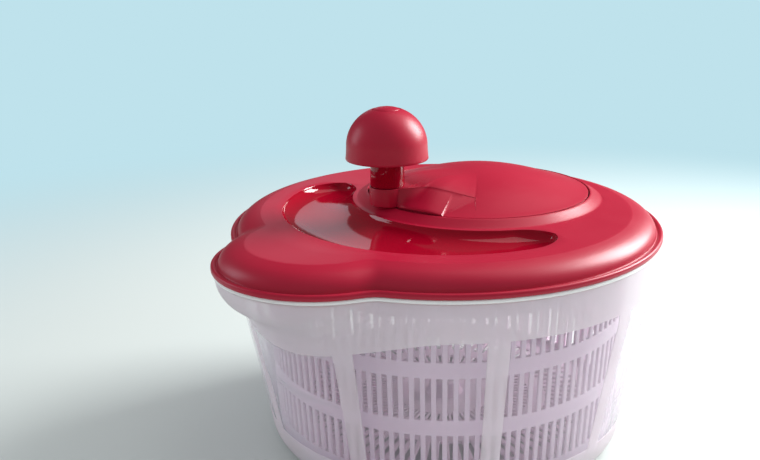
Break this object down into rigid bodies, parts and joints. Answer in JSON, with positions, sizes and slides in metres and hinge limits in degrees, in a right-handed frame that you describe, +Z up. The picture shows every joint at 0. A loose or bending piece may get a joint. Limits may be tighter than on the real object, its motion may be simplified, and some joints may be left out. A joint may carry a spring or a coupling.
{
  "type": "salad spinner",
  "caption": "Salad spinner with a translucent bowl with a pouring lobe, a slotted basket, and a crimson lid whose geared crank disc and mushroom knob spin the basket.",
  "frame": {"origin": "centre of the bowl's base on the main axis, at the surface it stands on", "axes": "+Z up along the basket's axis; the pouring lobe points towards -Y; the crank axis is set back towards +Y"},
  "size_m": [0.26, 0.2883, 0.2052],
  "materials": {
    "crimson_satin": "satin moulded ABS",
    "crimson_gloss": "polished moulded ABS",
    "bowl_plastic": "etched outer face with polished clear windows",
    "basket_plastic": "translucent moulded polypropylene",
    "white_plastic": "natural polypropylene",
    "acetal": "natural acetal",
    "steel": "stainless steel"
  },
  "bodies": {
    "bowl": {"bowl": "bowl_plastic"},
    "basket": {"basket": "basket_plastic", "basket_bush": "acetal"},
    "lid": {"lid_shell": "crimson_satin", "gear_tray": "white_plastic", "tray_screw_1": "steel", "tray_screw_2": "steel", "tray_screw_3": "steel", "tray_screw_4": "steel", "crank_bush": "acetal", "pinion_bush": "acetal"},
    "crank": {"crank_disc": "crimson_satin", "ring_gear": "acetal", "ring_gear_screw_1": "steel", "ring_gear_screw_2": "steel", "ring_gear_screw_3": "steel", "crank_washer": "steel", "crank_screw": "steel", "knob_axle": "steel", "knob_washer": "steel", "knob_screw": "steel"},
    "knob": {"knob_shell": "crimson_satin", "knob_stem": "crimson_gloss", "knob_cap": "crimson_satin"},
    "pinion": {"drive_pinion": "acetal", "drive_plate": "white_plastic", "plate_washer": "steel", "plate_screw": "steel"}
  },
  "joints": [
    {"name": "lid_lift", "type": "slide", "parent": "bowl", "child": "lid", "axis": [0, 0, 1], "range_m": [0, 0.15]},
    {"name": "crank_spin", "type": "hinge", "parent": "lid", "child": "crank", "pos_m": [0, 0.0315, 0.1468], "axis": [0, 0, 1], "continuous": true},
    {"name": "knob_spin", "type": "hinge", "parent": "crank", "child": "knob", "pos_m": [-0.01507, -0.0343, 0.158], "axis": [0, 0, 1], "continuous": true},
    {"name": "pinion_spin", "type": "hinge", "parent": "lid", "child": "pinion", "pos_m": [0, 0, 0.1385], "axis": [0, 0, 1], "continuous": true},
    {"name": "basket_spin", "type": "hinge", "parent": "bowl", "child": "basket", "pos_m": [0, 0, 0.0207], "axis": [0, 0, 1], "continuous": true}
  ],
  "couplings": [
    {"joint": "pinion_spin", "follows": "crank_spin", "ratio": 4},
    {"joint": "basket_spin", "follows": "crank_spin", "ratio": 4}
  ]
}
